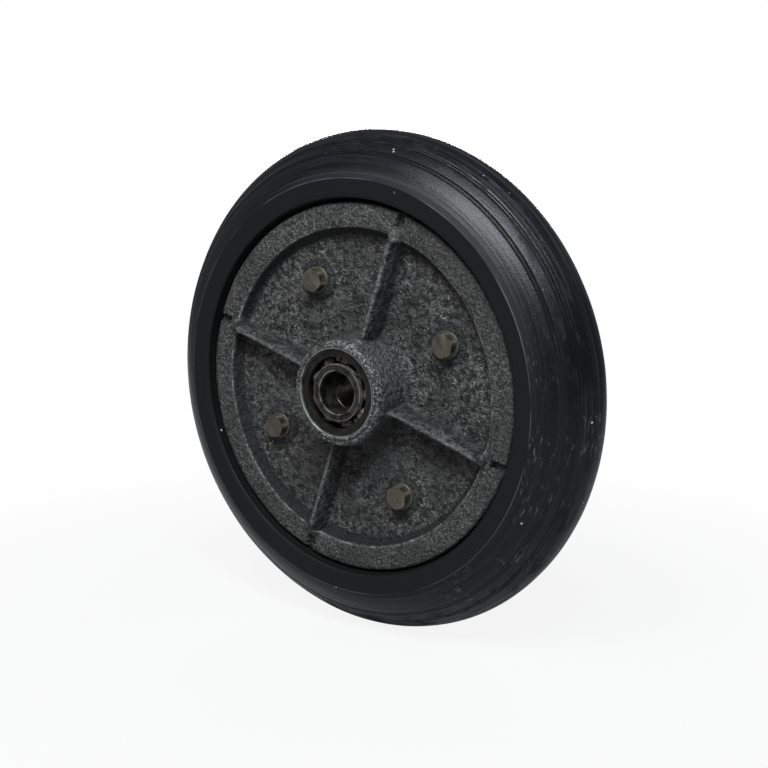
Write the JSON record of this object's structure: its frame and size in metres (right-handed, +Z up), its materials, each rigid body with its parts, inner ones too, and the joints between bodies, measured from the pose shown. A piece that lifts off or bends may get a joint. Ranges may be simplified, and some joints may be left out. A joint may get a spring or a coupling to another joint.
{
  "type": "rubber wheel",
  "caption": "Solid rubber wheel on a split ribbed cast-iron centre, bolted together around the tyre and turning on open ball bearings in a deep hub.",
  "frame": {"origin": "wheel centre: on the axle line, on the parting plane of the two castings", "axes": "+Y along the axle, towards the rear (nut) side; the front (bolt-head) side faces -Y; +Z up; +X to the right seen from the front"},
  "size_m": [0.305, 0.086, 0.305],
  "materials": {
    "tyre_rubber": "moulded black rubber, dusty, semi-gloss on the shoulder",
    "cast_iron": "rough sand-cast, bare grey",
    "bolt_steel": "dulled plated steel with worn edges",
    "bearing_steel": "ground steel under a film of grease",
    "bright_steel": "bright turned or polished steel",
    "cage_steel": "pressed sheet steel, brown with grease"
  },
  "bodies": {
    "axle_side": {"front_inner_ring": "bearing_steel", "rear_inner_ring": "bearing_steel", "bearing_spacer": "bright_steel"},
    "wheel": {"tyre": "tyre_rubber", "front_half": "cast_iron", "rear_half": "cast_iron", "front_outer_ring": "bearing_steel", "rear_outer_ring": "bearing_steel", "bolt_1": "bolt_steel", "washer_1": "bolt_steel", "nut_washer_1": "bolt_steel", "spring_washer_1": "bolt_steel", "nut_1": "bolt_steel", "bolt_2": "bolt_steel", "washer_2": "bolt_steel", "nut_washer_2": "bolt_steel", "spring_washer_2": "bolt_steel", "nut_2": "bolt_steel", "bolt_3": "bolt_steel", "washer_3": "bolt_steel", "nut_washer_3": "bolt_steel", "spring_washer_3": "bolt_steel", "nut_3": "bolt_steel", "bolt_4": "bolt_steel", "washer_4": "bolt_steel", "nut_washer_4": "bolt_steel", "spring_washer_4": "bolt_steel", "nut_4": "bolt_steel"},
    "front_cage": {"front_cage_outboard": "cage_steel", "front_cage_inboard": "cage_steel", "front_cage_rivets": "cage_steel", "front_balls": "bright_steel"},
    "rear_cage": {"rear_cage_outboard": "cage_steel", "rear_cage_inboard": "cage_steel", "rear_cage_rivets": "cage_steel", "rear_balls": "bright_steel"}
  },
  "joints": [
    {"name": "wheel_spin", "type": "hinge", "parent": "axle_side", "child": "wheel", "pos_m": [0, 0, 0], "axis": [0, 1, 0], "continuous": true},
    {"name": "front_cage_spin", "type": "hinge", "parent": "axle_side", "child": "front_cage", "pos_m": [0, -0.0345, 0], "axis": [0, 1, 0], "continuous": true},
    {"name": "rear_cage_spin", "type": "hinge", "parent": "axle_side", "child": "rear_cage", "pos_m": [0, 0.0345, 0], "axis": [0, 1, 0], "continuous": true}
  ],
  "couplings": [
    {"joint": "front_cage_spin", "follows": "wheel_spin", "ratio": 0.6031},
    {"joint": "rear_cage_spin", "follows": "wheel_spin", "ratio": 0.6031}
  ]
}
